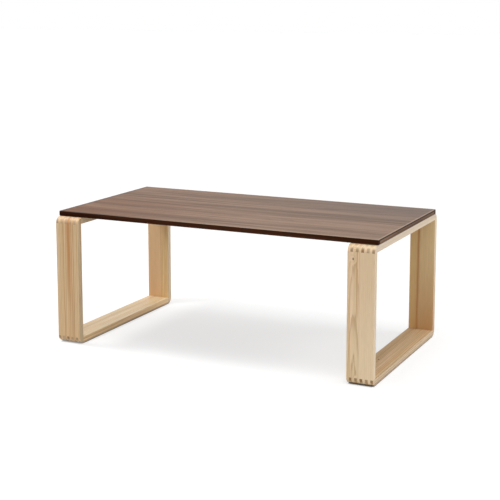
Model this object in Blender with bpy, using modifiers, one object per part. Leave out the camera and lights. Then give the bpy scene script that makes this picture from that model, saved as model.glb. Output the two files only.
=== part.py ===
"""Coffee table: a veneered walnut top on two softwood loops with finger-jointed corners.

Units are metres and +Z is up. The origin is on the floor under the middle of the top,
+X runs along the table's length and the front faces -Y.
"""

import math

import bmesh
import bpy
from mathutils import Matrix

# Clearance between pieces that are glued, rest on each other or fit together
FIT_GAP = 0.0003

# Tabletop panel
TOP_LENGTH = 1.000
TOP_DEPTH = 0.508
CORE_THICKNESS = 0.0108
VENEER_THICKNESS = 0.0018
VENEER_EASE = 0.0008
LIPPING_THICKNESS = 0.012

# Loops of four boards under the two ends of the top
LOOP_HEIGHT = 0.378
LOOP_PROUD = 0.021
LOOP_INSET = 0.002
BOARD_WIDTH = 0.076
BOARD_THICKNESS = 0.018
CORNER_RADIUS = 0.017
BOARD_EASE = 0.0008
FINGER_COUNT = 10

# Felt pads under the bottom rails
PAD_THICKNESS = 0.0020
PAD_LENGTH = 0.060
PAD_MARGIN = 0.004
PAD_ROUNDING = 0.004

# Bolts, washers and threaded inserts that hold a loop to the top
BOLT_COUNT = 3
BOLT_END_DISTANCE = 0.095
BOLT_RADIUS = 0.0030
BOLT_HOLE_CLEARANCE = 0.0004
BOLT_ENGAGEMENT = 0.0070
BOLT_TIP_CHAMFER = 0.0008
HEAD_RADIUS = 0.0060
HEAD_HEIGHT = 0.0035
HEAD_ROUNDING = 0.0010
SOCKET_RADIUS = 0.0023
SOCKET_DEPTH = 0.0022
WASHER_RADIUS = 0.0090
WASHER_THICKNESS = 0.0016
INSERT_RADIUS = 0.0050
INSERT_LENGTH = 0.0090

# Facets of the round shapes
CORNER_SEGMENTS = 8
VENEER_SEGMENTS = 3
PAD_SEGMENTS = 4
ROUND_SEGMENTS = 24
SOCKET_SIDES = 6
SMOOTH_ANGLE = math.radians(30)

# How far a cutter stands out of the face that it cuts
CUTTER_OVERRUN = 0.005

# Points closer than this are one point, and an edge this straight runs along an axis
MERGE_DISTANCE = 0.00001
STRAIGHT = 0.999

# Heights of the stack, from the floor to the top's core
LOOP_BOTTOM = PAD_THICKNESS + FIT_GAP
LOOP_TOP = LOOP_BOTTOM + LOOP_HEIGHT
TOP_UNDERSIDE = LOOP_TOP + FIT_GAP
CORE_BOTTOM = TOP_UNDERSIDE + VENEER_THICKNESS + FIT_GAP
CORE_TOP = CORE_BOTTOM + CORE_THICKNESS

# The core inside its lippings
CORE_LENGTH = TOP_LENGTH - 2 * (LIPPING_THICKNESS + FIT_GAP)
CORE_DEPTH = TOP_DEPTH - 2 * (LIPPING_THICKNESS + FIT_GAP)

# Each loop stands proud of the top's front and rear edges, and carries its bolts in a row
LOOP_DEPTH = TOP_DEPTH + 2 * LOOP_PROUD
BOLT_SPACING = (LOOP_DEPTH - 2 * BOLT_END_DISTANCE) / (BOLT_COUNT - 1)

# Middle of each loop along X, and the roundings that the boards and veneers have room for
LOOP_CENTRE = TOP_LENGTH / 2 - LOOP_INSET - BOARD_WIDTH / 2
CORNER_ROUNDING = min(CORNER_RADIUS, BOARD_THICKNESS - BOARD_EASE)
VENEER_ROUNDING = min(VENEER_EASE, VENEER_THICKNESS - FIT_GAP)

# Colour, roughness and metallic value of each finish
WALNUT_FACE = ((0.165, 0.098, 0.066), 0.36, 0.0)
WALNUT_EDGE = ((0.070, 0.030, 0.017), 0.45, 0.0)
PANEL_CORE = ((0.420, 0.300, 0.190), 0.80, 0.0)
SOFTWOOD = ((0.610, 0.435, 0.255), 0.50, 0.0)
FELT = ((0.035, 0.028, 0.024), 0.95, 0.0)
ZINC_STEEL = ((0.560, 0.570, 0.580), 0.35, 1.0)
BRASS = ((0.700, 0.500, 0.220), 0.35, 1.0)


def new_collection(name):
    """A collection linked to the scene."""
    collection = bpy.data.collections.new(name)
    bpy.context.scene.collection.children.link(collection)
    return collection


def new_empty(name, location):
    """An empty that carries a group of pieces."""
    empty = bpy.data.objects.new(name, None)
    empty.location = location
    PARTS.objects.link(empty)
    return empty


def new_material(name, finish):
    """A Principled material of one finish."""
    colour, roughness, metallic = finish
    material = bpy.data.materials.new(name)
    material.use_nodes = True
    shader = material.node_tree.nodes["Principled BSDF"]
    shader.inputs["Base Color"].default_value = (*colour, 1.0)
    shader.inputs["Roughness"].default_value = roughness
    shader.inputs["Metallic"].default_value = metallic
    material.diffuse_color = (*colour, 1.0)
    return material


def to_mesh(name, shape):
    """Turns a bmesh into a mesh that is smooth on its round parts."""
    mesh = bpy.data.meshes.new(name)
    shape.to_mesh(mesh)
    shape.free()
    mesh.shade_smooth()
    mesh.set_sharp_from_angle(angle=SMOOTH_ANGLE)
    return mesh


def add_part(name, shape, carrier, location, finish):
    """A named piece, placed relative to the empty that carries it."""
    part = bpy.data.objects.new(name, to_mesh(name, shape))
    part.data.materials.append(new_material(name + "_finish", finish))
    part.parent = carrier
    part.location = location
    PARTS.objects.link(part)
    return part


def cut(part, shape):
    """Cuts a shape, given in the part's own coordinates, out of the part."""
    cutter = bpy.data.objects.new(part.name + "_cutter", to_mesh(part.name + "_cutter", shape))
    cutter.parent = part.parent
    cutter.location = part.location
    cutter.hide_render = True
    cutter.display_type = "WIRE"
    CUTTERS.objects.link(cutter)
    boolean = part.modifiers.new("Cut", "BOOLEAN")
    boolean.operation = "DIFFERENCE"
    boolean.solver = "EXACT"
    boolean.object = cutter


def add_box(shape, low, high):
    """Adds a box between two corners to a bmesh."""
    middle = [(a + b) / 2 for a, b in zip(low, high)]
    size = [b - a for a, b in zip(low, high)]
    place = Matrix.Translation(middle) @ Matrix.Diagonal((*size, 1.0))
    bmesh.ops.create_cube(shape, size=1.0, matrix=place)


def add_cylinder(shape, radius, centre, low, high, segments=ROUND_SEGMENTS):
    """Adds an upright cylinder, or a prism of few segments, to a bmesh."""
    place = Matrix.Translation((*centre, (low + high) / 2))
    bmesh.ops.create_cone(
        shape,
        cap_ends=True,
        segments=segments,
        radius1=radius,
        radius2=radius,
        depth=high - low,
        matrix=place,
    )


def block(size):
    """A bmesh box of this size about its own origin."""
    shape = bmesh.new()
    half = [length / 2 for length in size]
    add_box(shape, [-length for length in half], half)
    return shape


def edges_along(shape, axis, test):
    """The edges of a bmesh that run along an axis, with both ends passing the test."""
    found = []
    for edge in shape.edges:
        direction = edge.verts[1].co - edge.verts[0].co
        if abs(direction[axis]) > STRAIGHT * direction.length and all(test(v.co) for v in edge.verts):
            found.append(edge)
    return found


def round_over(shape, edges, radius, segments):
    """Rounds some edges of a bmesh, or chamfers them where there is one segment."""
    bmesh.ops.bevel(
        shape,
        geom=edges,
        offset=radius,
        offset_type="OFFSET",
        segments=segments,
        profile=0.5,
        affect="EDGES",
        material=-1,
    )


def ease_sides(shape):
    """Takes the sharpness off both long outlines of a loop board."""
    outlines = [edge for edge in shape.edges if edge.verts[0].co.x * edge.verts[1].co.x > 0]
    round_over(shape, outlines, BOARD_EASE, 1)


def bolt_rows():
    """Y positions of the bolts along a top rail."""
    return [(index - (BOLT_COUNT - 1) / 2) * BOLT_SPACING for index in range(BOLT_COUNT)]


def finger_ranges(side, first):
    """X ranges cut from a board so that every other finger of its neighbour fits.

    side is +1 or -1 for the right or left loop. Fingers count from the loop's outer face,
    where first is 0 for the rails' fingers and 1 for the legs'.
    """
    width = BOARD_WIDTH / FINGER_COUNT
    ranges = []
    for index in range(first, FINGER_COUNT, 2):
        start = index * width - FIT_GAP / 2
        end = (index + 1) * width + FIT_GAP / 2
        if index == 0:
            start = -CUTTER_OVERRUN
        if index == FINGER_COUNT - 1:
            end = BOARD_WIDTH + CUTTER_OVERRUN
        ranges.append(sorted((side * (BOARD_WIDTH / 2 - start), side * (BOARD_WIDTH / 2 - end))))
    return ranges


def loop_leg(name, carrier, side, outward):
    """An upright board of a loop: outward is -1 for the front leg and +1 for the rear one."""
    half_thickness = BOARD_THICKNESS / 2
    half_height = LOOP_HEIGHT / 2
    shape = block((BOARD_WIDTH, BOARD_THICKNESS, LOOP_HEIGHT))
    corners = edges_along(shape, 0, lambda co: co.y * outward > 0)
    round_over(shape, corners, CORNER_ROUNDING, CORNER_SEGMENTS)
    ease_sides(shape)
    place = (0, outward * (LOOP_DEPTH / 2 - half_thickness), half_height)
    leg = add_part(name, shape, carrier, place, SOFTWOOD)

    notches = bmesh.new()
    depth = BOARD_THICKNESS + FIT_GAP
    reach = half_thickness + CUTTER_OVERRUN
    for low, high in finger_ranges(side, 0):
        add_box(notches, (low, -reach, half_height - depth), (high, reach, half_height + CUTTER_OVERRUN))
        add_box(notches, (low, -reach, -half_height - CUTTER_OVERRUN), (high, reach, depth - half_height))
    cut(leg, notches)


def loop_rail(name, carrier, side, outward):
    """A level board of a loop: outward is +1 for the top rail and -1 for the bottom one."""
    half_thickness = BOARD_THICKNESS / 2
    half_depth = LOOP_DEPTH / 2
    shape = block((BOARD_WIDTH, LOOP_DEPTH, BOARD_THICKNESS))
    corners = edges_along(shape, 0, lambda co: co.z * outward > 0)
    round_over(shape, corners, CORNER_ROUNDING, CORNER_SEGMENTS)
    ease_sides(shape)
    height = LOOP_HEIGHT - half_thickness if outward > 0 else half_thickness
    rail = add_part(name, shape, carrier, (0, 0, height), SOFTWOOD)

    cuts = bmesh.new()
    depth = BOARD_THICKNESS + FIT_GAP
    reach = half_thickness + CUTTER_OVERRUN
    for low, high in finger_ranges(side, 1):
        add_box(cuts, (low, half_depth - depth, -reach), (high, half_depth + CUTTER_OVERRUN, reach))
        add_box(cuts, (low, -half_depth - CUTTER_OVERRUN, -reach), (high, depth - half_depth, reach))
    if outward > 0:
        for y in bolt_rows():
            add_cylinder(cuts, BOLT_RADIUS + BOLT_HOLE_CLEARANCE, (0, y), -reach, reach)
    cut(rail, cuts)


def turned(name, profile, closed, carrier, location, finish):
    """A piece turned about Z from a profile of (radius, height) points, top to bottom outside."""
    shape = bmesh.new()
    points = [shape.verts.new((radius, 0, height)) for radius, height in profile]
    for a, b in zip(points, points[1:]):
        shape.edges.new((a, b))
    if closed:
        shape.edges.new((points[-1], points[0]))
    part = add_part(name, shape, carrier, location, finish)
    screw = part.modifiers.new("Turn", "SCREW")
    screw.axis = "Z"
    screw.angle = math.tau
    screw.steps = ROUND_SEGMENTS
    screw.render_steps = ROUND_SEGMENTS
    screw.use_merge_vertices = True
    screw.merge_threshold = MERGE_DISTANCE
    return part


def bolt(name, carrier, location, length):
    """A socket-head bolt that points up, with its origin where the head bears on the washer."""
    part = turned(
        name,
        [
            (0, length),
            (BOLT_RADIUS - BOLT_TIP_CHAMFER, length),
            (BOLT_RADIUS, length - BOLT_TIP_CHAMFER),
            (BOLT_RADIUS, 0),
            (HEAD_RADIUS, 0),
            (HEAD_RADIUS, HEAD_ROUNDING - HEAD_HEIGHT),
            (HEAD_RADIUS - HEAD_ROUNDING, -HEAD_HEIGHT),
            (0, -HEAD_HEIGHT),
        ],
        False,
        carrier,
        location,
        ZINC_STEEL,
    )
    socket = bmesh.new()
    mouth = -HEAD_HEIGHT - CUTTER_OVERRUN
    add_cylinder(socket, SOCKET_RADIUS, (0, 0), mouth, SOCKET_DEPTH - HEAD_HEIGHT, SOCKET_SIDES)
    cut(part, socket)


def ring(name, carrier, location, radius, length, finish):
    """A plain ring that a bolt passes through, standing on its origin."""
    bore = BOLT_RADIUS + FIT_GAP
    profile = [(bore, length), (radius, length), (radius, 0), (bore, 0)]
    turned(name, profile, True, carrier, location, finish)


def loop_fasteners(prefix, carrier):
    """The bolts, washers and inserts of one loop, counted from the front."""
    washer_bottom = LOOP_HEIGHT - BOARD_THICKNESS - FIT_GAP - WASHER_THICKNESS
    head_top = washer_bottom - FIT_GAP
    insert_bottom = LOOP_HEIGHT + FIT_GAP
    bolt_length = insert_bottom + BOLT_ENGAGEMENT - head_top
    for number, y in enumerate(bolt_rows(), start=1):
        bolt(f"{prefix}_bolt_{number}", carrier, (0, y, head_top), bolt_length)
        ring(
            f"{prefix}_washer_{number}",
            carrier,
            (0, y, washer_bottom),
            WASHER_RADIUS,
            WASHER_THICKNESS,
            ZINC_STEEL,
        )
        ring(
            f"{prefix}_insert_{number}",
            carrier,
            (0, y, insert_bottom),
            INSERT_RADIUS,
            INSERT_LENGTH,
            BRASS,
        )


def loop_pad(name, carrier, outward):
    """A felt pad on the flat of the bottom rail, just inside its rounded end."""
    shape = block((BOARD_WIDTH - 2 * PAD_MARGIN, PAD_LENGTH, PAD_THICKNESS))
    corners = edges_along(shape, 2, lambda co: True)
    round_over(shape, corners, PAD_ROUNDING, PAD_SEGMENTS)
    middle = LOOP_DEPTH / 2 - CORNER_ROUNDING - PAD_MARGIN - PAD_LENGTH / 2
    add_part(name, shape, carrier, (0, outward * middle, -FIT_GAP - PAD_THICKNESS / 2), FELT)


def loop(prefix, side):
    """One loop with its boards, pads and fasteners, carried by an empty on the loop's underside."""
    carrier = new_empty(prefix + "_loop", (side * LOOP_CENTRE, 0, LOOP_BOTTOM))
    loop_leg(prefix + "_front_leg", carrier, side, -1)
    loop_leg(prefix + "_rear_leg", carrier, side, 1)
    loop_rail(prefix + "_top_rail", carrier, side, 1)
    loop_rail(prefix + "_bottom_rail", carrier, side, -1)
    loop_pad(prefix + "_front_pad", carrier, -1)
    loop_pad(prefix + "_rear_pad", carrier, 1)
    loop_fasteners(prefix, carrier)


def insert_holes(part, high):
    """Holes for the threaded inserts of both loops, up to a height in the part's own coordinates."""
    holes = bmesh.new()
    low = -CORE_THICKNESS / 2 - CUTTER_OVERRUN
    for side in (-1, 1):
        for y in bolt_rows():
            add_cylinder(holes, INSERT_RADIUS + FIT_GAP, (side * LOOP_CENTRE, y), low, high)
    cut(part, holes)


def top_veneer(name, carrier, outward):
    """A sheet over the core and lippings, eased round its outer edge: outward is +1 for the face."""
    shape = block((TOP_LENGTH, TOP_DEPTH, VENEER_THICKNESS))
    outline = [edge for edge in shape.edges if all(v.co.z * outward > 0 for v in edge.verts)]
    round_over(shape, outline, VENEER_ROUNDING, VENEER_SEGMENTS)
    height = outward * (CORE_THICKNESS / 2 + FIT_GAP + VENEER_THICKNESS / 2)
    return add_part(name, shape, carrier, (0, 0, height), WALNUT_FACE)


def lipping(name, carrier, size, place):
    """A solid strip round the core, as thick as the core."""
    add_part(name, block((*size, CORE_THICKNESS)), carrier, (*place, 0), WALNUT_EDGE)


def tabletop():
    """The lipped and veneered panel, carried by an empty at its middle."""
    carrier = new_empty("tabletop", (0, 0, (CORE_BOTTOM + CORE_TOP) / 2))
    core = add_part(
        "top_core", block((CORE_LENGTH, CORE_DEPTH, CORE_THICKNESS)), carrier, (0, 0, 0), PANEL_CORE
    )
    insert_top = TOP_UNDERSIDE + INSERT_LENGTH - CORE_BOTTOM - CORE_THICKNESS / 2
    insert_holes(core, insert_top + FIT_GAP)

    long_strip = (TOP_LENGTH, LIPPING_THICKNESS)
    long_place = (TOP_DEPTH - LIPPING_THICKNESS) / 2
    lipping("front_lipping", carrier, long_strip, (0, -long_place))
    lipping("rear_lipping", carrier, long_strip, (0, long_place))
    end_strip = (LIPPING_THICKNESS, CORE_DEPTH)
    end_place = (TOP_LENGTH - LIPPING_THICKNESS) / 2
    lipping("left_lipping", carrier, end_strip, (-end_place, 0))
    lipping("right_lipping", carrier, end_strip, (end_place, 0))

    top_veneer("top_face_veneer", carrier, 1)
    back = top_veneer("top_back_veneer", carrier, -1)
    insert_holes(back, VENEER_THICKNESS / 2 + CUTTER_OVERRUN)


for old in list(bpy.data.objects):
    bpy.data.objects.remove(old, do_unlink=True)

PARTS = new_collection("coffee_table")
CUTTERS = new_collection("coffee_table_cutters")

tabletop()
loop("left", -1)
loop("right", 1)
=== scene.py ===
import math

import bmesh
import bpy
from mathutils import Matrix, Vector


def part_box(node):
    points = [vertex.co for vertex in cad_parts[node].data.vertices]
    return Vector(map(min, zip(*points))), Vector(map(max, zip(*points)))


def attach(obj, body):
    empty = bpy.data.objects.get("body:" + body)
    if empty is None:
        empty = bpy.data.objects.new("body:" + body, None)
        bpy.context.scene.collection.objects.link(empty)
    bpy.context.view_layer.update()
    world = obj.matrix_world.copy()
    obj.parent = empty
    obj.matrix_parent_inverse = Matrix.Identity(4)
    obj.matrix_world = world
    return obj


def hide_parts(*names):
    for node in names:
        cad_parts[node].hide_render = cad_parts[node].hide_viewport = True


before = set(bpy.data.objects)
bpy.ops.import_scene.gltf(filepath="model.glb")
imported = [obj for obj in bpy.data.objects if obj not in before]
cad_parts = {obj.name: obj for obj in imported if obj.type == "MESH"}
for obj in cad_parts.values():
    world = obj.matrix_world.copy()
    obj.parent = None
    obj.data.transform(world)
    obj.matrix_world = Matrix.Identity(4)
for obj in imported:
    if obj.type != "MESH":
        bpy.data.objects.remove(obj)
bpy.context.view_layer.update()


# Legs and rails of the two end loops
# Flat boards of pale, wide-ringed softwood, each glued up from two staves. Fingers sawn in their ends
# interlock and are glued, and the outer corners are then rounded over and sanded flush.
FINGERS = 10
CORNER_ROUNDING = 0.017
CORNER_STEPS = 14
BOARD_EASE = 0.0009
EASE_STEPS = 3
SQUARE_ON = 0.9
HAIR = 1e-6


def ease(shape, edges, width, steps):
    """Rounds edges over, as a router or sandpaper does."""
    bmesh.ops.bevel(
        shape, geom=edges, offset=width, offset_type="OFFSET", affect="EDGES",
        segments=steps, profile=0.5, material=-1)


def finger_board(width, thickness, length, first_finger):
    """A board along Z with its outer face at -Y. Fingers are counted from its +X edge."""
    shoulder = length / 2 - thickness
    finger = width / FINGERS
    board = bmesh.new()
    bmesh.ops.create_cube(board, size=1.0)
    bmesh.ops.scale(board, vec=(width, thickness, 2 * shoulder), verts=board.verts)
    for cut in range(1, FINGERS):
        everything = board.verts[:] + board.edges[:] + board.faces[:]
        saw_line = (cut * finger - width / 2, 0, 0)
        bmesh.ops.bisect_plane(board, geom=everything, plane_co=saw_line, plane_no=(1, 0, 0))
    board.normal_update()
    for end in (-1, 1):
        roots = []
        for face in board.faces:
            place = int((width / 2 - face.calc_center_median().x) / finger)
            if face.normal.z * end > SQUARE_ON and place % 2 == first_finger:
                roots.append(face)
        fingers = bmesh.ops.extrude_discrete_faces(board, faces=roots)
        for tip in fingers["faces"]:
            bmesh.ops.translate(board, vec=(0, 0, end * thickness), verts=tip.verts)

    def all_at(edge, test):
        return all(test(point.co) for point in edge.verts)

    def on_outer_tip(point):
        return abs(point.z) > length / 2 - HAIR and point.y < HAIR - thickness / 2

    def on_side(point):
        return abs(point.x) > width / 2 - HAIR

    def on_shoulder(point):
        return abs(abs(point.z) - shoulder) < HAIR

    def on_inner_face(point):
        return point.y > thickness / 2 - HAIR

    def past_shoulder(edge):
        return any(abs(point.co.z) > shoulder + HAIR for point in edge.verts)

    tip_edges = [edge for edge in board.edges if all_at(edge, on_outer_tip)]
    ease(board, tip_edges, CORNER_ROUNDING, CORNER_STEPS)
    show_edges = []
    for edge in board.edges:
        hidden = all_at(edge, on_shoulder) or (all_at(edge, on_inner_face) and past_shoulder(edge))
        if all_at(edge, on_side) and not hidden:
            show_edges.append(edge)
    ease(board, show_edges, BOARD_EASE, EASE_STEPS)
    return board


SMOOTH_ANGLE = math.radians(40)


def make_piece(name, shape, material, slot, *nodes):
    """Turns a bmesh into a named piece of the table that stands for its CAD nodes."""
    bmesh.ops.recalc_face_normals(shape, faces=shape.faces)
    mesh = bpy.data.meshes.new(name)
    shape.to_mesh(mesh)
    shape.free()
    mesh.shade_smooth()
    mesh.set_sharp_from_angle(angle=SMOOTH_ANGLE)
    mesh.materials.append(material)
    piece = bpy.data.objects.new(name, mesh)
    bpy.context.scene.collection.objects.link(piece)
    flat_faces = piece.modifiers.new("flat_faces", "WEIGHTED_NORMAL")
    flat_faces.keep_sharp = True
    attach(piece, "root")
    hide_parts(*nodes)


def cad_box(node):
    """The low and the high corner of a CAD node."""
    return [Vector(corner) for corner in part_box(node)]


def new_finish(name):
    """A new material, with its node tree and its shader."""
    material = bpy.data.materials.new(name)
    material.use_nodes = True
    return material, material.node_tree, material.node_tree.nodes["Principled BSDF"]


def set_input(tree, socket, value):
    """Links a socket from another, or sets it."""
    if isinstance(value, bpy.types.NodeSocket):
        tree.links.new(value, socket)
    else:
        socket.default_value = value


def maths(tree, operation, *terms):
    """One sum with sockets or plain numbers."""
    node = tree.nodes.new("ShaderNodeMath")
    node.operation = operation
    for socket, term in zip(node.inputs, terms):
        set_input(tree, socket, term)
    return node.outputs["Value"]


def vector_maths(tree, operation, *terms):
    """One sum with places, directions or colours."""
    node = tree.nodes.new("ShaderNodeVectorMath")
    node.operation = operation
    for socket, term in zip(node.inputs, terms):
        set_input(tree, socket, term)
    return node.outputs["Value" if operation in ("DOT_PRODUCT", "LENGTH") else "Vector"]


def table_place(tree):
    """Where a point is on the table, in metres."""
    return tree.nodes.new("ShaderNodeTexCoord").outputs["Object"]


def turned_place(tree, place, rotation, location=(0.0, 0.0, 0.0)):
    """A place on the table as seen from one of its pieces."""
    node = tree.nodes.new("ShaderNodeMapping")
    node.inputs["Rotation"].default_value = rotation
    node.inputs["Location"].default_value = location
    set_input(tree, node.inputs["Vector"], place)
    return node.outputs["Vector"]


def split_axes(tree, place):
    node = tree.nodes.new("ShaderNodeSeparateXYZ")
    set_input(tree, node.inputs["Vector"], place)
    return node.outputs


def join_axes(tree, *values):
    node = tree.nodes.new("ShaderNodeCombineXYZ")
    for socket, value in zip(node.inputs, values):
        set_input(tree, socket, value)
    return node.outputs["Vector"]


def noise(tree, place, waves, offset, detail=2.0, roughness=0.5):
    """Noise with its own count of waves per metre along each axis, and an offset for variety."""
    stretched = vector_maths(tree, "MULTIPLY", place, waves)
    moved = vector_maths(tree, "ADD", stretched, offset)
    node = tree.nodes.new("ShaderNodeTexNoise")
    set_input(tree, node.inputs["Vector"], moved)
    node.inputs["Scale"].default_value = 1.0
    node.inputs["Detail"].default_value = detail
    node.inputs["Roughness"].default_value = roughness
    return node.outputs["Fac"]


# The range that most of a noise lies in.
MOST_NOISE = (0.2, 0.8)


def sway(tree, place, waves, offset, detail=2.0):
    """Noise about zero, to push a place or a value either way."""
    return maths(tree, "SUBTRACT", noise(tree, place, waves, offset, detail), 0.5)


def random_by_year(tree, years, seed):
    """A random value for each whole year of growth."""
    dice = tree.nodes.new("ShaderNodeTexWhiteNoise")
    dice.noise_dimensions = "1D"
    set_input(tree, dice.inputs["W"], maths(tree, "ADD", maths(tree, "FLOOR", years), seed))
    return dice.outputs["Value"]


def spread(tree, value, low, high, new_low=0.0, new_high=1.0):
    """Maps a value smoothly from one range to another."""
    node = tree.nodes.new("ShaderNodeMapRange")
    node.interpolation_type = "SMOOTHSTEP"
    for name, term in (
            ("Value", value), ("From Min", low), ("From Max", high),
            ("To Min", new_low), ("To Max", new_high)):
        set_input(tree, node.inputs[name], term)
    return node.outputs["Result"]


def ramp(tree, value, stops, interpolation="LINEAR"):
    """A colour ramp. Stops are (place, colour), and a colour may be one grey value."""
    node = tree.nodes.new("ShaderNodeValToRGB")
    node.color_ramp.interpolation = interpolation
    elements = node.color_ramp.elements
    while len(elements) < len(stops):
        elements.new(1.0)
    for element, (place, colour) in zip(elements, stops):
        element.position = place
        element.color = (*colour, 1.0) if isinstance(colour, tuple) else (colour, colour, colour, 1.0)
    set_input(tree, node.inputs["Fac"], value)
    return node.outputs["Color"]


def blend_colours(tree, share, first, second):
    """Goes from the first colour to the second by a share."""
    node = tree.nodes.new("ShaderNodeMix")
    node.data_type = "RGBA"
    set_input(tree, node.inputs["Factor"], share)
    sockets = [socket for socket in node.inputs if socket.type == "RGBA"]
    for socket, colour in zip(sockets, (first, second)):
        set_input(tree, socket, (*colour, 1.0) if isinstance(colour, tuple) else colour)
    return [socket for socket in node.outputs if socket.type == "RGBA"][0]


def add_relief(tree, shader, height, strength, depth):
    """Gives a finish a fine relief, as deep as depth in metres."""
    bump = tree.nodes.new("ShaderNodeBump")
    bump.inputs["Strength"].default_value = strength
    bump.inputs["Distance"].default_value = depth
    set_input(tree, bump.inputs["Height"], height)
    set_input(tree, shader.inputs["Normal"], bump.outputs["Normal"])


def new_group(name, inputs, outputs):
    """A shader node group. Inputs are (name, socket type, value), outputs are (name, socket type)."""
    group = bpy.data.node_groups.new(name, "ShaderNodeTree")
    for label, kind, value in inputs:
        kind = "NodeSocket" + kind
        socket = group.interface.new_socket(name=label, in_out="INPUT", socket_type=kind)
        if value is not None:
            socket.default_value = value
    for label, kind in outputs:
        group.interface.new_socket(name=label, in_out="OUTPUT", socket_type="NodeSocket" + kind)
    entry = group.nodes.new("NodeGroupInput")
    leave = group.nodes.new("NodeGroupOutput")
    return group, entry.outputs, leave.inputs


def place_group(tree, group, **values):
    """Puts a group into a material. Each value's name is that of its input."""
    node = tree.nodes.new("ShaderNodeGroup")
    node.node_tree = group
    for label, value in values.items():
        set_input(tree, node.inputs[label.replace("_", " ").title()], value)
    return node.outputs


# Waves per metre across a stave, through it and along it, and how far the ripple pushes the rings.
DRIFT_WAVES = (12.0, 12.0, 3.0)
RIPPLE_WAVES = (220.0, 220.0, 14.0)
RIPPLE = 0.0016
LANE_WAVES = (60.0, 60.0, 1.6)
FIBRE_WAVES = (1100.0, 1100.0, 30.0)

# How dark the wood is from spring to winter, how uneven the years are and how hard their late wood is.
GROWTH = [(0.0, 0.30), (0.06, 0.03), (0.45, 0.08), (0.74, 0.34), (0.90, 0.95), (0.97, 1.0), (1.0, 0.30)]
YEAR_WAVES = (0.7, 1.0, 1.0)
UNEVEN_YEARS = 0.9
YEAR_HARDNESS = (0.45, 1.0)


def stave_grain_group():
    """Year rings about a tree's pith, cut through by a stave that runs along Z."""
    tree, given, made = new_group(
        "stave_grain",
        [("Place", "Vector", None), ("Swirl", "Float", 0.0), ("Pith Across", "Float", 0.1),
         ("Pith Behind", "Float", 0.05), ("Lean", "Float", 0.0), ("Ring Width", "Float", 0.006),
         ("Wander", "Float", 0.004), ("Contrast", "Float", 1.0), ("Seed", "Float", 0.0)],
        [("Late Wood", "Float"), ("Tone", "Float"), ("Fibre", "Float")])
    place = given["Place"]
    axes = split_axes(tree, place)
    seed = vector_maths(tree, "MULTIPLY", given["Seed"], (1.0, 1.7, 0.6))
    across = maths(tree, "SUBTRACT", axes["X"], given["Pith Across"])
    behind = maths(tree, "SUBTRACT", axes["Y"], given["Pith Behind"])
    behind = maths(tree, "SUBTRACT", behind, maths(tree, "MULTIPLY", axes["Z"], given["Lean"]))
    squares = maths(tree, "MULTIPLY_ADD", across, across, maths(tree, "MULTIPLY", behind, behind))
    radius = maths(tree, "SQRT", squares)
    drift = sway(tree, place, DRIFT_WAVES, seed, 1.0)
    radius = maths(tree, "MULTIPLY_ADD", drift, given["Wander"], radius)
    ripple = sway(tree, place, RIPPLE_WAVES, seed)
    radius = maths(tree, "MULTIPLY_ADD", ripple, RIPPLE, radius)
    radius = maths(tree, "ADD", radius, given["Swirl"])
    years = maths(tree, "DIVIDE", radius, given["Ring Width"])
    uneven = noise(tree, join_axes(tree, years), YEAR_WAVES, seed, 1.0)
    years = maths(tree, "MULTIPLY_ADD", uneven, UNEVEN_YEARS, years)
    late = ramp(tree, maths(tree, "FRACT", years), GROWTH)
    hardness = spread(tree, random_by_year(tree, years, given["Seed"]), 0.0, 1.0, *YEAR_HARDNESS)
    hardness = maths(tree, "MULTIPLY", hardness, given["Contrast"])
    set_input(tree, made["Late Wood"], maths(tree, "MULTIPLY", late, hardness))
    lanes = sway(tree, place, LANE_WAVES, seed)
    set_input(tree, made["Tone"], maths(tree, "MULTIPLY_ADD", lanes, given["Contrast"], 0.5))
    set_input(tree, made["Fibre"], noise(tree, place, FIBRE_WAVES, seed, 2.0, 0.6))
    return tree


# A knot's outline, and how far from its middle, in sizes of the knot, its plug and its bent rings end.
KNOT_WAVES = (420.0, 420.0, 300.0)
KNOT_RAGGEDNESS = 0.0016
KNOT_SQUEEZE = 0.65
PLUG_END = (0.6, 1.15)
BEND_END = (0.5, 4.0)


def pin_knot_group():
    """A small knot where a twig left the trunk: a dark plug, and rings that bend round it."""
    tree, given, made = new_group(
        "pin_knot",
        [("Place", "Vector", None), ("Across", "Float", 0.0), ("Along", "Float", 0.0),
         ("Size", "Float", 0.003)],
        [("Plug", "Float"), ("Swirl", "Float")])
    axes = split_axes(tree, given["Place"])
    across = maths(tree, "SUBTRACT", axes["X"], given["Across"])
    along = maths(tree, "SUBTRACT", axes["Z"], given["Along"])
    along = maths(tree, "MULTIPLY", along, KNOT_SQUEEZE)
    distance = vector_maths(tree, "LENGTH", join_axes(tree, across, along))
    ragged = sway(tree, given["Place"], KNOT_WAVES, (0.0, 7.0, 0.0))
    distance = maths(tree, "MULTIPLY_ADD", ragged, KNOT_RAGGEDNESS, distance)
    share = maths(tree, "DIVIDE", distance, given["Size"])
    set_input(tree, made["Plug"], spread(tree, share, *PLUG_END, 1.0, 0.0))
    bend = spread(tree, share, *BEND_END, 1.0, 0.0)
    set_input(tree, made["Swirl"], maths(tree, "MULTIPLY", bend, given["Size"]))
    return tree


stave_grain = stave_grain_group()
pin_knot = pin_knot_group()

OCHRE = (0.68, 0.45, 0.20)
TAN = (0.74, 0.55, 0.32)
OLIVE = (0.67, 0.52, 0.29)
CREAM = (0.80, 0.63, 0.41)
LATE_WOOD = (0.36, 0.165, 0.048)
HEART_WOOD = (0.50, 0.225, 0.07)
KNOT = (0.16, 0.070, 0.025)
END_GRAIN = (0.23, 0.115, 0.038)

STREAK_WAVES = (9.0, 9.0, 4.0)
STREAK_STRAY = 0.010


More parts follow.
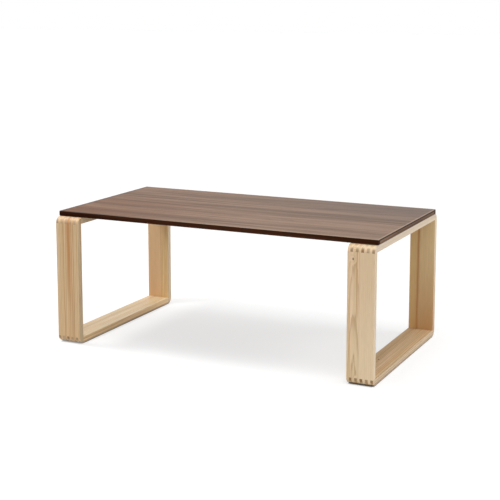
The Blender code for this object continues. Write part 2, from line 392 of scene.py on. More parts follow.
def heart_streak(tree, place, axes, where, half_width, pale_end, dark_end, strength):
    """The share of red heart wood in a streak that strays a little and fades along the board."""
    strayed = sway(tree, place, STREAK_WAVES, (3.1, where, 0.0))
    offset = maths(tree, "MULTIPLY_ADD", strayed, STREAK_STRAY, axes["X"])
    offset = maths(tree, "ABSOLUTE", maths(tree, "SUBTRACT", offset, where))
    streak = spread(tree, offset, 0.0, half_width, strength, 0.0)
    return maths(tree, "MULTIPLY", streak, spread(tree, axes["Z"], pale_end, dark_end))


CUT_ACROSS = (0.66, 1.0)
FINGER_DEPTHS = (0.55, 1.0)


def cut_end_share(tree, place, facing, fibre_direction, finger, depth):
    """The share of end grain on faces sawn across the fibre, a little different on each finger."""
    along_fibre = vector_maths(tree, "DOT_PRODUCT", facing, fibre_direction)
    cut_end = spread(tree, maths(tree, "ABSOLUTE", along_fibre), *CUT_ACROSS, 0.0, depth)
    dice = tree.nodes.new("ShaderNodeTexWhiteNoise")
    dice.noise_dimensions = "2D"
    counted = vector_maths(tree, "MULTIPLY", place, (1.0 / finger, 0.0, 0.0))
    set_input(tree, dice.inputs["Vector"], vector_maths(tree, "FLOOR", counted))
    by_finger = spread(tree, dice.outputs["Value"], 0.0, 1.0, *FINGER_DEPTHS)
    return maths(tree, "MULTIPLY", cut_end, by_finger)


OTHER_TREE = 1.9
WOOD_TONES = [(0.30, OCHRE), (0.41, TAN), (0.50, OLIVE), (0.58, TAN), (0.68, CREAM)]
LATE_WOOD_SHARE = 0.72
KNOT_SHARE = 0.85
FIBRE_RANGE = (0.25, 0.75)
FIBRE_SHADE = (0.93, 1.05)
# Painted shade near the floor: the heights over which the wood darkens towards its bottom, and how dark
# it gets.
FOOT_SHADE_HEIGHTS = (0.003, 0.009)
PAINTED_FOOT_SHADE = 0.70
# How far a face must turn along the table to take the painted light and shade of the narrow sides.
PAINTED_SIDE_TURN = (0.5, 0.9)
GLUE_SEAM = (0.0001, 0.0005)
GLUE_SHARE = 0.35
FIBRE_GLOSS = 0.08
LATE_WOOD_HEIGHT = 0.6
RELIEF_STRENGTH = 0.25
GRAIN_RELIEF = 0.00012


def softwood_board(name, turn, middle, finger, look):
    """A board's wood. turn and middle carry the board to its place, finger is the width of one finger,
    and look tells one board from another. Each stave of a board comes from its own tree."""
    material, tree, shader = new_finish(name)
    on_table = table_place(tree)
    back = turn.transposed()
    place = turned_place(tree, on_table, back.to_euler(), -(back @ middle))
    axes = split_axes(tree, place)
    swirl = 0.0
    plug = 0.0
    for across, along, size in look["knots"]:
        knot = place_group(tree, pin_knot, place=place, across=across, along=along, size=size)
        swirl = maths(tree, "ADD", knot["Swirl"], swirl)
        plug = maths(tree, "MAXIMUM", knot["Plug"], plug)
    inner, outer = (
        place_group(tree, stave_grain, place=place, swirl=swirl, seed=look["seed"] + further, **stave)
        for stave, further in zip(look["staves"], (0.0, OTHER_TREE)))
    in_outer_stave = maths(tree, "GREATER_THAN", axes["X"], look["seam"])

    def of_stave(label):
        change = maths(tree, "SUBTRACT", outer[label], inner[label])
        return maths(tree, "MULTIPLY_ADD", in_outer_stave, change, inner[label])

    late = of_stave("Late Wood")
    fibre = of_stave("Fibre")
    colour = ramp(tree, of_stave("Tone"), WOOD_TONES)
    tint = blend_colours(tree, in_outer_stave, *look["tints"])
    colour = vector_maths(tree, "MULTIPLY", colour, tint)
    colour = blend_colours(tree, maths(tree, "MULTIPLY", late, LATE_WOOD_SHARE), colour, LATE_WOOD)
    for streak in look["streaks"]:
        colour = blend_colours(tree, heart_streak(tree, place, axes, *streak), colour, HEART_WOOD)
    if look["knots"]:
        colour = blend_colours(tree, maths(tree, "MULTIPLY", plug, KNOT_SHARE), colour, KNOT)
    shade = spread(tree, fibre, *FIBRE_RANGE, *FIBRE_SHADE)
    colour = vector_maths(tree, "MULTIPLY", colour, shade)
    # Painted shade: the wood is darker in its lowest few millimetres, near the floor.
    foot_shade = spread(tree, split_axes(tree, on_table)["Z"], *FOOT_SHADE_HEIGHTS, PAINTED_FOOT_SHADE, 1.0)
    colour = vector_maths(tree, "MULTIPLY", colour, foot_shade)
    facing = tree.nodes.new("ShaderNodeNewGeometry").outputs["Normal"]
    # Painted light and shade: the narrow sides, turned along the table, get their own tint in place of
    # the light that falls on them.
    sideways = vector_maths(tree, "DOT_PRODUCT", facing, turn.col[0])
    on_side = spread(tree, maths(tree, "ABSOLUTE", sideways), *PAINTED_SIDE_TURN)
    side_lit_colour = vector_maths(tree, "MULTIPLY", colour, look["painted_side_light"])
    colour = blend_colours(tree, on_side, colour, side_lit_colour)
    cut_end = cut_end_share(tree, place, facing, turn.col[2], finger, look["end_depth"])
    colour = blend_colours(tree, cut_end, colour, END_GRAIN)
    from_seam = maths(tree, "ABSOLUTE", maths(tree, "SUBTRACT", axes["X"], look["seam"]))
    glue = spread(tree, from_seam, *GLUE_SEAM, GLUE_SHARE, 0.0)
    colour = blend_colours(tree, glue, colour, LATE_WOOD)
    set_input(tree, shader.inputs["Base Color"], colour)
    dullness = look["dullness"]
    gloss = spread(tree, fibre, *MOST_NOISE, dullness, dullness - FIBRE_GLOSS)
    set_input(tree, shader.inputs["Roughness"], gloss)
    height = maths(tree, "MULTIPLY_ADD", late, LATE_WOOD_HEIGHT, fibre)
    add_relief(tree, shader, height, RELIEF_STRENGTH, GRAIN_RELIEF)
    return material


STRAIGHT = dict(pith_across=0.22, pith_behind=0.06, lean=0.004, ring_width=0.005, wander=0.005)
CLEAR = dict(STRAIGHT, contrast=0.22)
ARCHED = dict(
    pith_across=-0.019, pith_behind=0.040, lean=0.016, ring_width=0.0024, wander=0.005, contrast=0.66)
ACROSS_PITH = dict(pith_across=0.055, pith_behind=0.030, lean=0.010, ring_width=0.0055, wander=0.005)

# For each board: the seed of its grain, the place of the glue seam across it, its inner and outer stave
# with their tints, the depth of colour of its sawn ends, the dullness of its finish and the tint that
# paints light and shade on its narrow sides. Then its heart wood streaks (place across, half width,
# where along the board they fade out, where they are darkest, strength) and its knots (place across,
# place along, size).
BOARD_LOOKS = {
    "left_front_leg": dict(
        seed=33.3, seam=0.012, staves=(ACROSS_PITH, STRAIGHT), end_depth=0.35, dullness=0.62,
        tints=((0.93, 0.89, 0.88), (0.93, 0.88, 0.85)), painted_side_light=(1.04, 1.08, 1.15),
        streaks=[(-0.004, 0.012, 0.24, -0.10, 0.95), (-0.0138, 0.0020, 0.30, 0.29, 0.75),
                 (-0.0197, 0.0018, 0.30, 0.29, 0.65), (0.0149, 0.0020, 0.30, 0.29, 0.65)],
        knots=[]),
    "left_rear_leg": dict(
        seed=37.0, seam=-0.010, staves=(STRAIGHT, CLEAR), end_depth=0.35, dullness=0.46,
        tints=((1.14, 1.02, 0.82), (1.165, 1.0, 0.93)), painted_side_light=(0.98, 1.10, 1.50),
        streaks=[(-0.030, 0.010, 0.00, 0.12, 0.60), (0.02, 0.05, 0.19, -0.17, 0.34)],
        knots=[]),
    "left_top_rail": dict(
        seed=40.7, seam=0.006, staves=(STRAIGHT, ARCHED), end_depth=0.42, dullness=0.70,
        tints=((0.81, 0.77, 0.88), (0.81, 0.77, 0.88)), painted_side_light=(1.35, 1.40, 1.32),
        streaks=[],
        knots=[]),
    "left_bottom_rail": dict(
        seed=44.4, seam=-0.006, staves=(ACROSS_PITH, STRAIGHT), end_depth=0.95, dullness=0.50,
        tints=((1.24, 1.31, 1.43), (1.15, 1.18, 1.27)), painted_side_light=(1.06, 0.91, 0.75),
        streaks=[(0.014, 0.006, -0.5, -0.4, 0.35)],
        knots=[]),
    "right_front_leg": dict(
        seed=48.1, seam=-0.004, staves=(ARCHED, CLEAR), end_depth=0.35, dullness=0.46,
        tints=((1.155, 1.15, 1.25), (1.21, 1.22, 1.40)), painted_side_light=(1.04, 1.07, 1.13),
        streaks=[(0.0, 0.25, -0.12, 0.12, 0.15), (-0.0096, 0.0022, -0.03, 0.02, 0.75),
                 (-0.0305, 0.0022, 0.06, -0.02, 0.60)],
        knots=[(-0.022, 0.152, 0.0026), (-0.012, -0.176, 0.0026)]),
    "right_rear_leg": dict(
        seed=51.8, seam=-0.012, staves=(CLEAR, CLEAR), end_depth=0.35, dullness=0.46,
        tints=((1.05, 0.92, 0.69), (1.03, 0.97, 0.89)), painted_side_light=(1.20, 1.28, 1.50),
        streaks=[(-0.012, 0.0065, 0.30, 0.29, 1.0), (0.03, 0.12, -0.10, 0.21, 0.75)],
        knots=[]),
    "right_top_rail": dict(
        seed=55.5, seam=0.003, staves=(ACROSS_PITH, CLEAR), end_depth=0.95, dullness=0.46,
        tints=((1.08, 1.10, 1.25), (1.08, 1.10, 1.25)), painted_side_light=(1.15, 1.17, 1.33),
        streaks=[],
        knots=[]),
    "right_bottom_rail": dict(
        seed=59.2, seam=0.008, staves=(STRAIGHT, ACROSS_PITH), end_depth=0.95, dullness=0.75,
        tints=((0.98, 0.92, 0.92), (0.98, 0.91, 0.90)), painted_side_light=(1.15, 1.25, 1.47),
        streaks=[(-0.020, 0.007, -0.5, -0.4, 0.3)],
        knots=[(-0.012, 0.09, 0.003)]),
}

OUT, REAR, UP = Vector((1, 0, 0)), Vector((0, 1, 0)), Vector((0, 0, 1))
INWARD = {"front_leg": REAR, "rear_leg": -REAR, "top_rail": -UP, "bottom_rail": UP}

for loop, side in (("left", -1), ("right", 1)):
    for board, inward in INWARD.items():
        node = loop + "_" + board
        low, high = cad_box(node)
        outward = OUT * side
        along = outward.cross(inward)
        turn = Matrix((outward, inward, along)).transposed()
        middle = (low + high) / 2
        width, thickness, length = (abs(extent) for extent in turn.transposed() @ (high - low))
        shape = finger_board(width, thickness, length, 1 if "leg" in board else 0)
        bmesh.ops.transform(shape, matrix=Matrix.Translation(middle) @ turn.to_4x4(), verts=shape.verts)
        wood = softwood_board(node + "_wood", turn, middle, width / FINGERS, BOARD_LOOKS[node])
        make_piece(node + "_board", shape, wood, "softwood", node)


# Felt pads under the bottom rails
# Four pads of pressed dark felt, 2 mm thick, cut with round corners and stuck under the ends of the
# bottom rails. They hold the rails a hair off the floor.
PAD_CORNER = 0.004
PAD_CORNER_STEPS = 6
PAD_EDGE = 0.0005
PAD_EDGE_STEPS = 2
TUFT_WAVES = (900.0, 900.0, 900.0)
PATCH_WAVES = (120.0, 120.0, 120.0)
PATCH_SHARE = 0.4
FELT_DARK = (0.022, 0.019, 0.017)
FELT_PALE = (0.055, 0.048, 0.043)
FELT_PATCH = (0.045, 0.040, 0.037)
FELT_RELIEF = 0.0003


def felt():
    """Matted dark wool with a faint sheen."""
    material, tree, shader = new_finish("pressed_felt")
    place = table_place(tree)
    tufts = noise(tree, place, TUFT_WAVES, (0.0, 0.0, 0.0), 4.0, 0.7)
    patches = noise(tree, place, PATCH_WAVES, (5.0, 0.0, 0.0))
    colour = ramp(tree, tufts, [(0.3, FELT_DARK), (0.7, FELT_PALE)])
    colour = blend_colours(tree, maths(tree, "MULTIPLY", patches, PATCH_SHARE), colour, FELT_PATCH)
    set_input(tree, shader.inputs["Base Color"], colour)
    set_input(tree, shader.inputs["Roughness"], spread(tree, tufts, *MOST_NOISE, 1.0, 0.9))
    shader.inputs["Specular IOR Level"].default_value = 0.1
    shader.inputs["Sheen Weight"].default_value = 0.3
    add_relief(tree, shader, tufts, 0.6, FELT_RELIEF)
    return material


def slab(low, high):
    """A plain block between two corners, to be shaped further."""
    block = bmesh.new()
    bmesh.ops.create_cube(block, size=1.0)
    bmesh.ops.scale(block, vec=high - low, verts=block.verts)
    bmesh.ops.translate(block, vec=(low + high) / 2, verts=block.verts)
    return block


def is_upright(edge):
    return abs(edge.verts[0].co.z - edge.verts[1].co.z) > HAIR


felt_cloth = felt()
for loop in ("left", "right"):
    rail_underside = cad_box(loop + "_bottom_rail")[0].z
    for end in ("front", "rear"):
        node = loop + "_" + end + "_pad"
        low, high = cad_box(node)
        high.z = rail_underside
        pad = slab(low, high)
        uprights = [edge for edge in pad.edges if is_upright(edge)]
        ease(pad, uprights, PAD_CORNER, PAD_CORNER_STEPS)
        rim = [edge for edge in pad.edges if all(point.co.z < low.z + HAIR for point in edge.verts)]
        ease(pad, rim, PAD_EDGE, PAD_EDGE_STEPS)
        make_piece(node + "_felt", pad, felt_cloth, "felt", node)


# Core of the top
# A flat panel of wood chips pressed with resin, hidden on every side by the veneers and lippings.
# The CAD solid has the right shape, so it stays and gets a material.
CHIPS_PER_METRE = 350.0
CHIP_DARK = (0.30, 0.20, 0.11)
CHIP_PALE = (0.58, 0.44, 0.28)


def pressed_chips():
    """Chips of many trees, each its own shade."""
    material, tree, shader = new_finish("pressed_chips")
    chips = tree.nodes.new("ShaderNodeTexVoronoi")
    set_input(tree, chips.inputs["Vector"], table_place(tree))
    chips.inputs["Scale"].default_value = CHIPS_PER_METRE
    grey = vector_maths(tree, "DOT_PRODUCT", chips.outputs["Color"], (0.33, 0.33, 0.33))
    set_input(tree, shader.inputs["Base Color"], ramp(tree, grey, [(0.2, CHIP_DARK), (0.8, CHIP_PALE)]))
    set_input(tree, shader.inputs["Roughness"], spread(tree, grey, 0.0, 1.0, 0.95, 0.8))
    return material


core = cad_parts["top_core"]
core.material_slots[0].material = pressed_chips()


# Lippings round the core
# Four strips of solid dark walnut glued to the core's edges, the long ones running past the short ones.
# They are planed level with the core before the veneers go on, and are darker in a band just under the
# veneer.
LIPPING_EASE = 0.0008
core_low, core_high = cad_box("top_core")

# Waves per metre along the grain, across it and through it, and how far the figure sways.
SWAY_WAVES = (1.6, 5.0, 5.0)
FIGURE_SWAY = 0.05
BROAD_WAVES = (0.7, 17.0, 17.0)
NARROW_WAVES = (1.8, 75.0, 75.0)
LINE_WAVES = (5.0, 520.0, 520.0)
PORE_WAVES = (70.0, 2600.0, 2600.0)
PORE_EDGE = (0.60, 0.70)
YEARS_IN_LANE = 22.0
WALNUT_GROWTH = [(0.0, 0.45), (0.10, 0.0), (0.50, 0.08), (0.85, 0.75), (0.96, 1.0), (1.0, 0.45)]


def walnut_grain_group():
    """Figure of walnut that runs along X: broad lanes, year lines that trace them, streaks and pores."""
    tree, given, made = new_group(
        "walnut_grain",
        [("Place", "Vector", None), ("Seed", "Float", 0.0)],
        [("Lane", "Float"), ("Streak", "Float"), ("Line", "Float"), ("Year", "Float"),
         ("Pore", "Float")])
    seed = vector_maths(tree, "MULTIPLY", given["Seed"], (1.0, 1.3, 0.7))
    shift = sway(tree, given["Place"], SWAY_WAVES, seed, 1.0)
    shift = maths(tree, "MULTIPLY", shift, FIGURE_SWAY)
    place = vector_maths(tree, "ADD", given["Place"], join_axes(tree, 0.0, shift))
    lane = noise(tree, place, BROAD_WAVES, seed, 1.0)
    set_input(tree, made["Lane"], lane)
    set_input(tree, made["Streak"], noise(tree, place, NARROW_WAVES, seed, 4.0, 0.6))
    line = noise(tree, place, LINE_WAVES, seed, 2.0, 0.6)
    set_input(tree, made["Line"], line)
    years = maths(tree, "MULTIPLY_ADD", line, 0.5, maths(tree, "MULTIPLY", lane, YEARS_IN_LANE))
    dark = ramp(tree, maths(tree, "FRACT", years), WALNUT_GROWTH)
    strength = random_by_year(tree, years, given["Seed"])
    set_input(tree, made["Year"], maths(tree, "MULTIPLY", dark, strength))
    dashes = noise(tree, place, PORE_WAVES, seed, 1.0)
    set_input(tree, made["Pore"], spread(tree, dashes, *PORE_EDGE))
    return tree


walnut_grain = walnut_grain_group()

WALNUT_PORE = (0.015, 0.006, 0.003)
LIPPING_DARK = (0.018, 0.0035, 0.0006)
LIPPING_RED = (0.060, 0.020, 0.008)
LIPPING_BROWN = (0.080, 0.044, 0.027)
LIPPING_FAWN = (0.37, 0.215, 0.130)
LIPPING_SEED = 11.0
LIPPING_PORES = 0.5
REARWARD_TONE = -0.25
NEAR_ENDS = (0.25, 0.48)
LONG_END_TONE = -0.14
LONG_DARK_BAND = 0.0012
SHORT_DARK_BAND = 0.0034
DARK_BAND_SHARE = 0.85
WALNUT_RELIEF = 0.0001


def lipping_walnut(name, grain_turn, dark, light, end_tone, dark_band):
    """Walnut with its grain turned about Z. end_tone is added near the table's ends, and the last
    argument is how far below the veneer the darker band ends."""
    material, tree, shader = new_finish(name)
    place = table_place(tree)
    axes = split_axes(tree, place)
    turned = turned_place(tree, place, (0.0, 0.0, grain_turn))
    grain = place_group(tree, walnut_grain, place=turned, seed=LIPPING_SEED)
    tone = maths(tree, "MULTIPLY", grain["Lane"], 0.4)
    tone = maths(tree, "MULTIPLY_ADD", grain["Streak"], 0.6, tone)
    tone = maths(tree, "MULTIPLY_ADD", axes["Y"], REARWARD_TONE, tone)
    to_ends = spread(tree, maths(tree, "ABSOLUTE", axes["X"]), *NEAR_ENDS, 0.0, end_tone)
    colour = ramp(tree, maths(tree, "ADD", tone, to_ends), [(0.36, dark), (0.62, light)])
    pores = maths(tree, "MULTIPLY", grain["Pore"], LIPPING_PORES)
    colour = blend_colours(tree, pores, colour, WALNUT_PORE)
    # Darker in a band just under the veneer.
    below_veneer = maths(tree, "SUBTRACT", core_high.z, axes["Z"])
    under_veneer_band = spread(tree, below_veneer, 0.5 * dark_band, dark_band, DARK_BAND_SHARE, 0.0)
    colour = blend_colours(tree, under_veneer_band, colour, WALNUT_PORE)
    set_input(tree, shader.inputs["Base Color"], colour)
    set_input(tree, shader.inputs["Roughness"], spread(tree, grain["Line"], *MOST_NOISE, 0.5, 0.4))
    shader.inputs["Specular IOR Level"].default_value = 0.02
    add_relief(tree, shader, grain["Line"], 0.2, WALNUT_RELIEF)
    return material


long_walnut = lipping_walnut(
    "long_lipping_walnut", 0.0, LIPPING_DARK, LIPPING_RED, LONG_END_TONE, LONG_DARK_BAND)
short_walnut = lipping_walnut(
    "short_lipping_walnut", math.pi / 2, LIPPING_BROWN, LIPPING_FAWN, 0.0, SHORT_DARK_BAND)
for edge_name, walnut in (
        ("front", long_walnut), ("left", short_walnut), ("rear", long_walnut), ("right", short_walnut)):
    node = edge_name + "_lipping"
    low, high = cad_box(node)
    low.z = core_low.z
    high.z = core_high.z
    strip = slab(low, high)
    if walnut is long_walnut:
        outer = low.y if edge_name == "front" else high.y
        corners = []
        for edge in strip.edges:
            if is_upright(edge) and abs(edge.verts[0].co.y - outer) < HAIR:
                corners.append(edge)
        ease(strip, corners, LIPPING_EASE, EASE_STEPS)
    make_piece(node + "_strip", strip, walnut, "walnut_edge", node)


# Veneers of the top
# Sawn walnut veneers glued over the core and the lippings, above and below. The upper one is laid in
# leaves side by side and oiled to a satin. Its eased rim has a painted highlight at the right and is
# darker at the left.
VENEER_EASE = 0.0014
WALNUT_DEEP = (0.066, 0.032, 0.018)
WALNUT_MID = (0.150, 0.086, 0.051)
WALNUT_PALE = (0.235, 0.145, 0.095)
RED_DEEP = (0.075, 0.022, 0.002)
RED_PALE = (0.138, 0.047, 0.003)
PAINTED_SHEEN_GREY = (0.098, 0.074, 0.063)
# The colour of the painted highlight along the veneer's rim.
PAINTED_RIM_HIGHLIGHT = (0.42, 0.30, 0.22)
VENEER_RIM = (0.030, 0.012, 0.006)
VENEER_PORES = 0.45
face_low, face_high = cad_box("top_face_veneer")
back_low, back_high = cad_box("top_back_veneer")

# How pale the leaves are from the rear edge of the top to the front, and how their seams wander.
LEAF_TONES = [
    (0.00, 0.46), (0.17, 0.44), (0.22, 0.30), (0.28, 0.42), (0.34, 0.62), (0.39, 0.58),
    (0.44, 0.38), (0.56, 0.36), (0.61, 0.62), (0.655, 0.50), (0.67, 0.32), (0.70, 0.50),
    (0.75, 0.72), (0.81, 0.62), (0.87, 0.34), (0.93, 0.38), (1.00, 0.50)]
LEAF_WAVES = (2.4, 3.0, 0.0)
LEAF_WANDER = 0.10


def leaf_tone(tree, place, axes, grain, seed):
    """Light and dark of the figure: the leaves first, then the finer marks of the grain."""
    depth = maths(tree, "MULTIPLY_ADD", axes["Y"], -1.0 / (face_high.y - face_low.y), 0.5)
    wave = sway(tree, place, LEAF_WAVES, (seed, 0.0, 0.0), 1.0)
    depth = maths(tree, "MULTIPLY_ADD", wave, LEAF_WANDER, depth)
    leaf = ramp(tree, depth, LEAF_TONES, "EASE")
    tone = maths(tree, "MULTIPLY", leaf, 0.20)
    for mark, share in (("Lane", 0.15), ("Streak", 0.45), ("Line", 0.20), ("Year", -0.07)):
        tone = maths(tree, "MULTIPLY_ADD", grain[mark], share, tone)
    return tone


# Where along and across the top, in metres, its colour drifts from red to grey and from dark to pale.
# The grey at the right rear is a painted reflection, and the darkening at the left is painted shade.
LEFT_FADE = (-0.55, 0.15)
RIGHT_RISE = (-0.30, 0.50)
FRONT_FADE = (-0.27, 0.20)
REAR_RISE = (-0.10, 0.25)
PALE_FADE = (-0.25, 0.05)
PALE_TONE = 0.05
LEFT_PAINTED_SHADE = -0.012
LEFT_FRONT_PAINTED_SHADE = -0.03
BLUSH_WAVES = (1.5, 22.0, 0.0)
BLUSH_EDGE = (0.35, 0.70)
BLUSH_SHARE = (0.55, 1.0)
PAINTED_SHEEN_SHARE = 0.5


def leaf_colour(tree, place, axes, tone, seed):
    """The oiled wood's colour: redder at the left front, darkened there and along the left by painted
    shade, and greyer at the right rear by a painted reflection.
    """
    leftward = spread(tree, axes["X"], *LEFT_FADE, 1.0, 0.1)
    rightward = spread(tree, axes["X"], *RIGHT_RISE)
    forward = spread(tree, axes["Y"], *FRONT_FADE, 1.0, 0.25)
    rearward = spread(tree, axes["Y"], *REAR_RISE)
    left_front = maths(tree, "MULTIPLY", leftward, forward)
    change = maths(tree, "MULTIPLY", rightward, spread(tree, axes["Y"], *PALE_FADE, PALE_TONE, 0.0))
    # Painted shade: darker at the left front and, a little, along the left.
    change = maths(tree, "MULTIPLY_ADD", left_front, LEFT_FRONT_PAINTED_SHADE, change)
    change = maths(tree, "MULTIPLY_ADD", leftward, LEFT_PAINTED_SHADE, change)
    tone = maths(tree, "ADD", tone, change)
    colour = ramp(tree, tone, [(0.37, WALNUT_DEEP), (0.47, WALNUT_MID), (0.56, WALNUT_PALE)])
    blush = noise(tree, place, BLUSH_WAVES, (seed, 4.0, 0.0))
    redness = maths(tree, "MULTIPLY", spread(tree, blush, *BLUSH_EDGE, *BLUSH_SHARE), left_front)
    red = ramp(tree, tone, [(0.37, RED_DEEP), (0.54, RED_PALE)])
    colour = blend_colours(tree, redness, colour, red)
    # Painted reflection: grey mixed in at the right rear.
    painted_sheen = maths(tree, "MULTIPLY", maths(tree, "MULTIPLY", rightward, rearward), PAINTED_SHEEN_SHARE)
    return blend_colours(tree, painted_sheen, colour, PAINTED_SHEEN_GREY)


# How far in from the rim the painted highlight and the darker band reach, and where along the top they
# start and end.
RIM_HIGHLIGHT_WIDTH = (0.0015, 0.0055)
RIM_HIGHLIGHT_SHARE = 0.65
RIM_HIGHLIGHT_FROM = (-0.45, 0.10)
DARK_RIM_WIDTH = (0.004, 0.013)
DARK_RIM_SHARE = 0.75
DARK_RIM_TO = (-0.45, -0.10)
RIM_SLOPE = (0.35, 0.75)
RIM_SHARE = 0.9


def rim_marks(tree, axes, colour):
    """A painted highlight, a darker band and the dark glue edge round a veneer."""
    to_end = maths(tree, "SUBTRACT", face_high.x, maths(tree, "ABSOLUTE", axes["X"]))
    to_side = maths(tree, "SUBTRACT", face_high.y, maths(tree, "ABSOLUTE", axes["Y"]))
    from_rim = maths(tree, "MINIMUM", to_end, to_side)
    # Painted highlight: a pale line along the rim, strongest towards the right.
    rim_highlight = spread(tree, from_rim, *RIM_HIGHLIGHT_WIDTH, RIM_HIGHLIGHT_SHARE, 0.0)
    rim_highlight = maths(tree, "MULTIPLY", rim_highlight, spread(tree, axes["X"], *RIM_HIGHLIGHT_FROM))
    colour = blend_colours(tree, rim_highlight, colour, PAINTED_RIM_HIGHLIGHT)
    # A darker band along the rim, towards the left.
    dark_rim = spread(tree, from_rim, *DARK_RIM_WIDTH, DARK_RIM_SHARE, 0.0)
    dark_rim = maths(tree, "MULTIPLY", dark_rim, spread(tree, axes["X"], *DARK_RIM_TO, 1.0, 0.0))
    colour = blend_colours(tree, dark_rim, colour, VENEER_RIM)
    facing = tree.nodes.new("ShaderNodeNewGeometry").outputs["Normal"]
    level = maths(tree, "ABSOLUTE", vector_maths(tree, "DOT_PRODUCT", facing, UP))
    return blend_colours(tree, spread(tree, level, *RIM_SLOPE, RIM_SHARE, 0.0), colour, VENEER_RIM)


def veneer_walnut(name, seed):
    """An oiled veneer, with its pores left open."""
    material, tree, shader = new_finish(name)
    place = table_place(tree)
    axes = split_axes(tree, place)
    grain = place_group(tree, walnut_grain, place=place, seed=seed)
    tone = leaf_tone(tree, place, axes, grain, seed)
    colour = leaf_colour(tree, place, axes, tone, seed)
    pores = maths(tree, "MULTIPLY", grain["Pore"], VENEER_PORES)
    colour = blend_colours(tree, pores, colour, VENEER_RIM)
    set_input(tree, shader.inputs["Base Color"], rim_marks(tree, axes, colour))
    set_input(tree, shader.inputs["Roughness"], spread(tree, grain["Line"], *MOST_NOISE, 0.52, 0.42))
    shader.inputs["Specular IOR Level"].default_value = 0.15
    pits = maths(tree, "MULTIPLY_ADD", grain["Pore"], -0.8, grain["Line"])
    add_relief(tree, shader, pits, 0.15, WALNUT_RELIEF)
    return material


for node, low, high, show, seed in (
        ("top_face_veneer", Vector((face_low.x, face_low.y, core_high.z)), face_high, face_high.z, 2.0),
        ("top_back_veneer", back_low, Vector((back_high.x, back_high.y, core_low.z)), back_low.z, 7.0)):
    sheet = slab(low, high)
    rim = []
    for edge in sheet.edges:
        on_show = all(abs(point.co.z - show) < HAIR for point in edge.verts)
        if is_upright(edge) or on_show:
            rim.append(edge)
    ease(sheet, rim, VENEER_EASE, EASE_STEPS)
    make_piece(node + "_sheet", sheet, veneer_walnut(node + "_walnut", seed), "walnut_face", node)


# Inserts, washers and bolts
# Three zinc-plated socket bolts with washers come up through each top rail into threaded brass inserts
# that are pressed into the core from below. The CAD solids stay and get their metals.
BLOTCH_WAVES = (400.0, 400.0, 400.0)
ZINC_DARK = (0.48, 0.49, 0.50)
ZINC_BRIGHT = (0.62, 0.62, 0.62)
BRASS_DARK = (0.60, 0.40, 0.16)
BRASS_BRIGHT = (0.78, 0.58, 0.28)


def worked_metal(name, dark, bright, smooth, rough):
    """Bare metal with faint blotches."""
    material, tree, shader = new_finish(name)
    blotches = noise(tree, table_place(tree), BLOTCH_WAVES, (0.0, 0.0, 0.0), 3.0)
    set_input(tree, shader.inputs["Base Color"], ramp(tree, blotches, [(0.3, dark), (0.7, bright)]))
    set_input(tree, shader.inputs["Roughness"], spread(tree, blotches, *MOST_NOISE, smooth, rough))
    shader.inputs["Metallic"].default_value = 1.0
    return material


zinc_plate = worked_metal("zinc_plate", ZINC_DARK, ZINC_BRIGHT, 0.28, 0.42)
turned_brass = worked_metal("turned_brass", BRASS_DARK, BRASS_BRIGHT, 0.25, 0.40)
for loop in ("left", "right"):
    for number in (1, 2, 3):
        for kind, metal in (("insert", turned_brass), ("bolt", zinc_plate), ("washer", zinc_plate)):
            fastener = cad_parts[f"{loop}_{kind}_{number}"]
            fastener.material_slots[0].material = metal


# Floor and light of the studio
# A white floor that runs out of sight, with painted shade in the gaps under the table that is lifted
# by painted light at the left front.
# Soft light comes from all round, stronger from the right rear. A soft lamp overhead lays the top's
# shadow on the floor, two more stand at the right and the front, and a softbox at the left.
WHITE = (1.0, 1.0, 1.0, 1.0)
FLOOR_REACH = 30.0
FLOOR_BOUNCE = 0.62
FLOOR_SHADE = 0.39
FLOOR_GLOW = 0.64
GAP_REACH = 0.010
GAP_OPENNESS = (0.2, 0.55)
LEFT_GAP_GLOW = 0.36
LEFT_GAP_FADE = (-0.40, 0.0)
FRONT_GAP_FADE = (-0.27, -0.24)


def seen_mask(tree):
    """1 for rays that show a picture: from the camera, in a gloss, or through glass."""
    path = tree.nodes.new("ShaderNodeLightPath").outputs
    seen = maths(tree, "MAXIMUM", path["Is Camera Ray"], path["Is Glossy Ray"])
    return maths(tree, "MAXIMUM", seen, path["Is Transmission Ray"])


def white_floor():
    """Matt paint that shows white and keeps the table's shadow, with a plain bounce of light."""
    material, tree, shader = new_finish("white_floor")
    seen = seen_mask(tree)
    grey = maths(tree, "MULTIPLY_ADD", seen, FLOOR_SHADE - FLOOR_BOUNCE, FLOOR_BOUNCE)
    set_input(tree, shader.inputs["Base Color"], grey)
    shader.inputs["Roughness"].default_value = 1.0
    shader.inputs["Specular IOR Level"].default_value = 0.0
    shader.inputs["Emission Color"].default_value = WHITE
    axes = split_axes(tree, table_place(tree))
    # Painted light: the floor's glow lifts the gap at the table's left front.
    left_light = spread(tree, axes["X"], *LEFT_GAP_FADE, LEFT_GAP_GLOW, 0.0)
    front_light = spread(tree, axes["Y"], *FRONT_GAP_FADE, 1.0, 0.0)
    gap_glow = maths(tree, "MULTIPLY", left_light, front_light)
    # Painted shade: the glow is taken away where the table comes close to the floor.
    gap = tree.nodes.new("ShaderNodeAmbientOcclusion")
    gap.inputs["Distance"].default_value = GAP_REACH
    glow = spread(tree, gap.outputs["AO"], *GAP_OPENNESS, gap_glow, FLOOR_GLOW)
    set_input(tree, shader.inputs["Emission Strength"], maths(tree, "MULTIPLY", seen, glow))
    return material


floor_shape = bmesh.new()
bmesh.ops.create_grid(floor_shape, x_segments=1, y_segments=1, size=FLOOR_REACH)
floor_mesh = bpy.data.meshes.new("studio_floor")
floor_shape.to_mesh(floor_mesh)
floor_shape.free()
floor_mesh.materials.append(white_floor())
floor = bpy.data.objects.new("studio_floor", floor_mesh)
bpy.context.scene.collection.objects.link(floor)

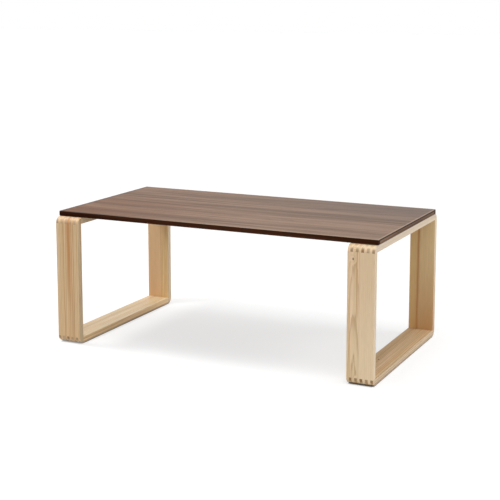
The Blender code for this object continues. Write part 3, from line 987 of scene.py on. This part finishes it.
AMBIENT = 0.32
AMBIENT_TILT = 0.15
AMBIENT_SIDE = (0.85, 0.50, 0.0)
studio = bpy.data.worlds.new("studio")
studio.use_nodes = True
bpy.context.scene.world = studio
tree = studio.node_tree
surround = tree.nodes["Background"]
surround.inputs["Color"].default_value = WHITE
direction = tree.nodes.new("ShaderNodeTexCoord").outputs["Generated"]
lit_side = vector_maths(tree, "DOT_PRODUCT", direction, AMBIENT_SIDE)
ambient = maths(tree, "MULTIPLY_ADD", lit_side, AMBIENT_TILT, AMBIENT)
missing = maths(tree, "SUBTRACT", 1.0, ambient)
strength = maths(tree, "MULTIPLY_ADD", seen_mask(tree), missing, ambient)
set_input(tree, surround.inputs["Strength"], strength)


def put_up(name, light, towards):
    """Hangs a light so that it shines from the given direction."""
    holder = bpy.data.objects.new(name, light)
    holder.rotation_euler = Vector(towards).to_track_quat("Z", "Y").to_euler()
    bpy.context.scene.collection.objects.link(holder)
    return holder


# Each lamp's direction, strength, and width in degrees.
SOFT_LAMPS = {
    "top_lamp": ((0.03, -0.08, 1.0), 1.30, 32.0),
    "right_lamp": ((1.0, 0.20, 1.0), 0.70, 25.0),
    "front_lamp": ((0.25, -1.0, 0.40), 0.85, 40.0),
}
SOFTBOX_POWER = 14.0
SOFTBOX_SIZE = 0.3
SOFTBOX_PLACE = (-1.10, -0.30, 1.70)
SOFTBOX_TOWARDS = (-0.90, -0.30, 1.60)

for name, (towards, strength, width) in SOFT_LAMPS.items():
    lamp = bpy.data.lights.new(name, "SUN")
    lamp.energy = strength
    lamp.angle = math.radians(width)
    put_up(name, lamp, towards)

softbox = bpy.data.lights.new("left_softbox", "AREA")
softbox.energy = SOFTBOX_POWER
softbox.size = SOFTBOX_SIZE
softbox_stand = put_up("left_softbox", softbox, SOFTBOX_TOWARDS)
softbox_stand.location = SOFTBOX_PLACE
softbox_stand.visible_camera = False


# Camera
# A long lens a little above the table, off its front right corner. The lens is shifted so that the
# table's uprights stay nearly upright in the picture.
IMAGE_WIDTH = 500
FOCAL_PIXELS = 1184.88
SENSOR_WIDTH = 36.0
LENS_SHIFT = -0.15
CAMERA_PLACE = (1.5088, -3.1318, 1.0175)
CAMERA_TILT = 0.1476
CAMERA_TURN = 0.4474
CAMERA_REACH = 100.0
camera_lens = bpy.data.cameras.new("camera")
camera_lens.sensor_width = SENSOR_WIDTH
camera_lens.lens = SENSOR_WIDTH * FOCAL_PIXELS / IMAGE_WIDTH
camera_lens.shift_y = LENS_SHIFT
camera_lens.clip_end = CAMERA_REACH
camera = bpy.data.objects.new("camera", camera_lens)
camera.location = CAMERA_PLACE
camera.rotation_euler = (math.pi / 2 - CAMERA_TILT, 0.0, CAMERA_TURN)
bpy.context.scene.collection.objects.link(camera)
bpy.context.scene.camera = camera
bpy.context.scene.view_settings.view_transform = "Standard"
